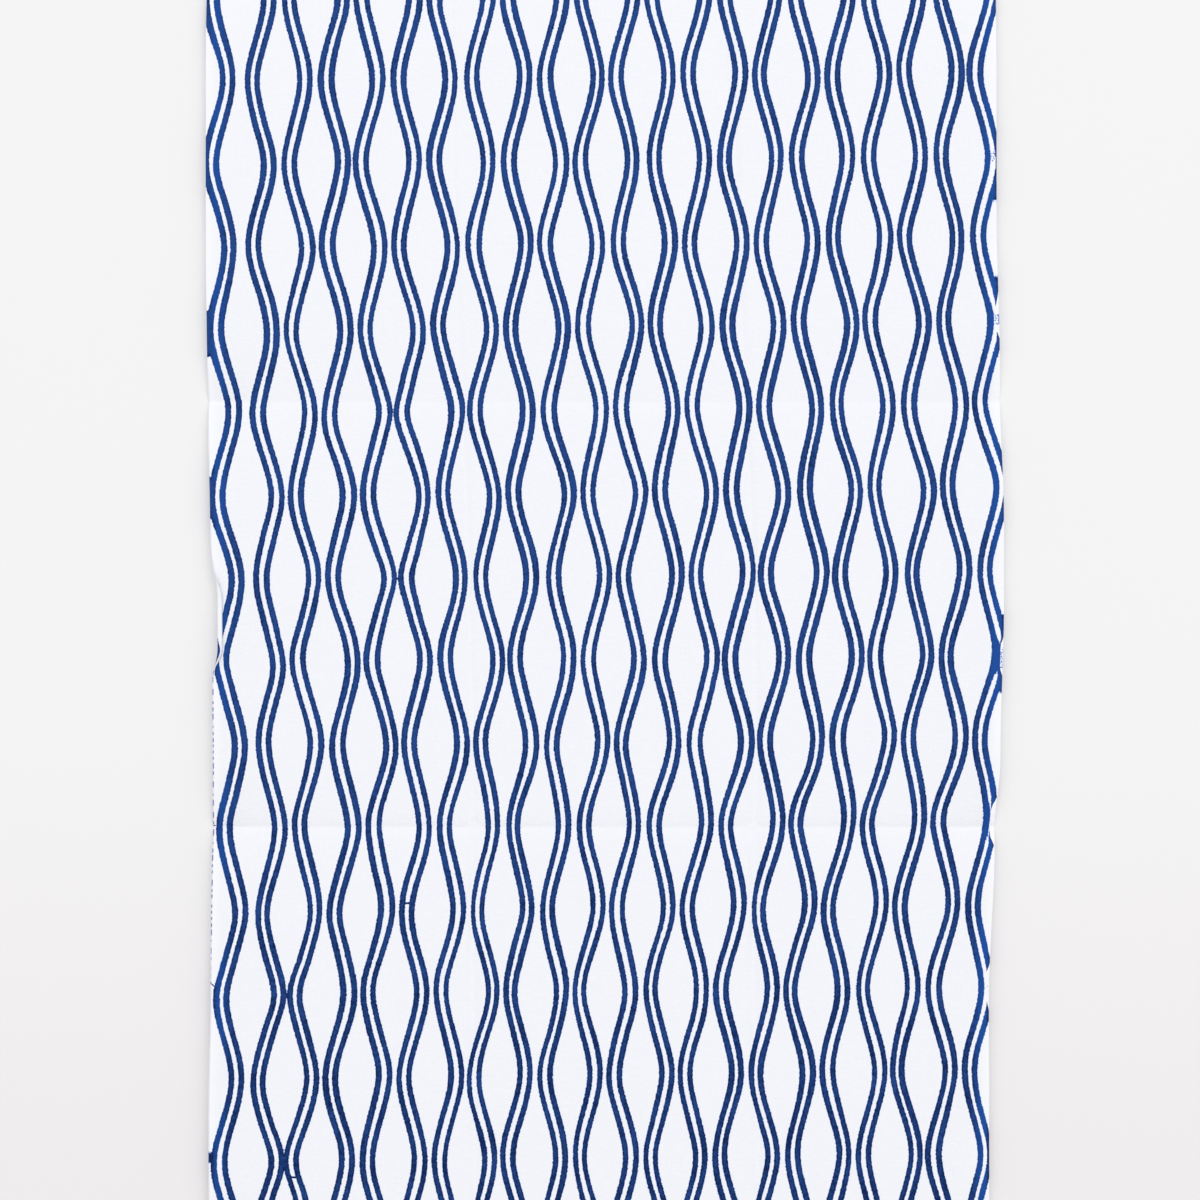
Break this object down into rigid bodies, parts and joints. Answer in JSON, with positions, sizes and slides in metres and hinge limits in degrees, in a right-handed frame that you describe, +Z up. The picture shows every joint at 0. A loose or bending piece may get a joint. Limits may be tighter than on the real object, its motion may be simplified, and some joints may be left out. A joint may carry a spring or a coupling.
{
  "type": "tenugui towel",
  "caption": "Cotton tenugui towel laid open on a surface: a thin woven panel that keeps the valley creases of its folding, dyed with paired wavy lines in blue on white.",
  "frame": {"origin": "on the surface that the towel lies on, under the middle of its box", "axes": "+X across the width to the right selvedge as seen from above, +Y along the length, +Z up out of the dyed face"},
  "size_m": [0.337, 0.9, 0.0083],
  "materials": {
    "cotton": "plain-woven cotton, white with indigo blue dyed lines, matt"
  },
  "bodies": {
    "root": {"towel_cloth": "cotton"}
  },
  "joints": []
}
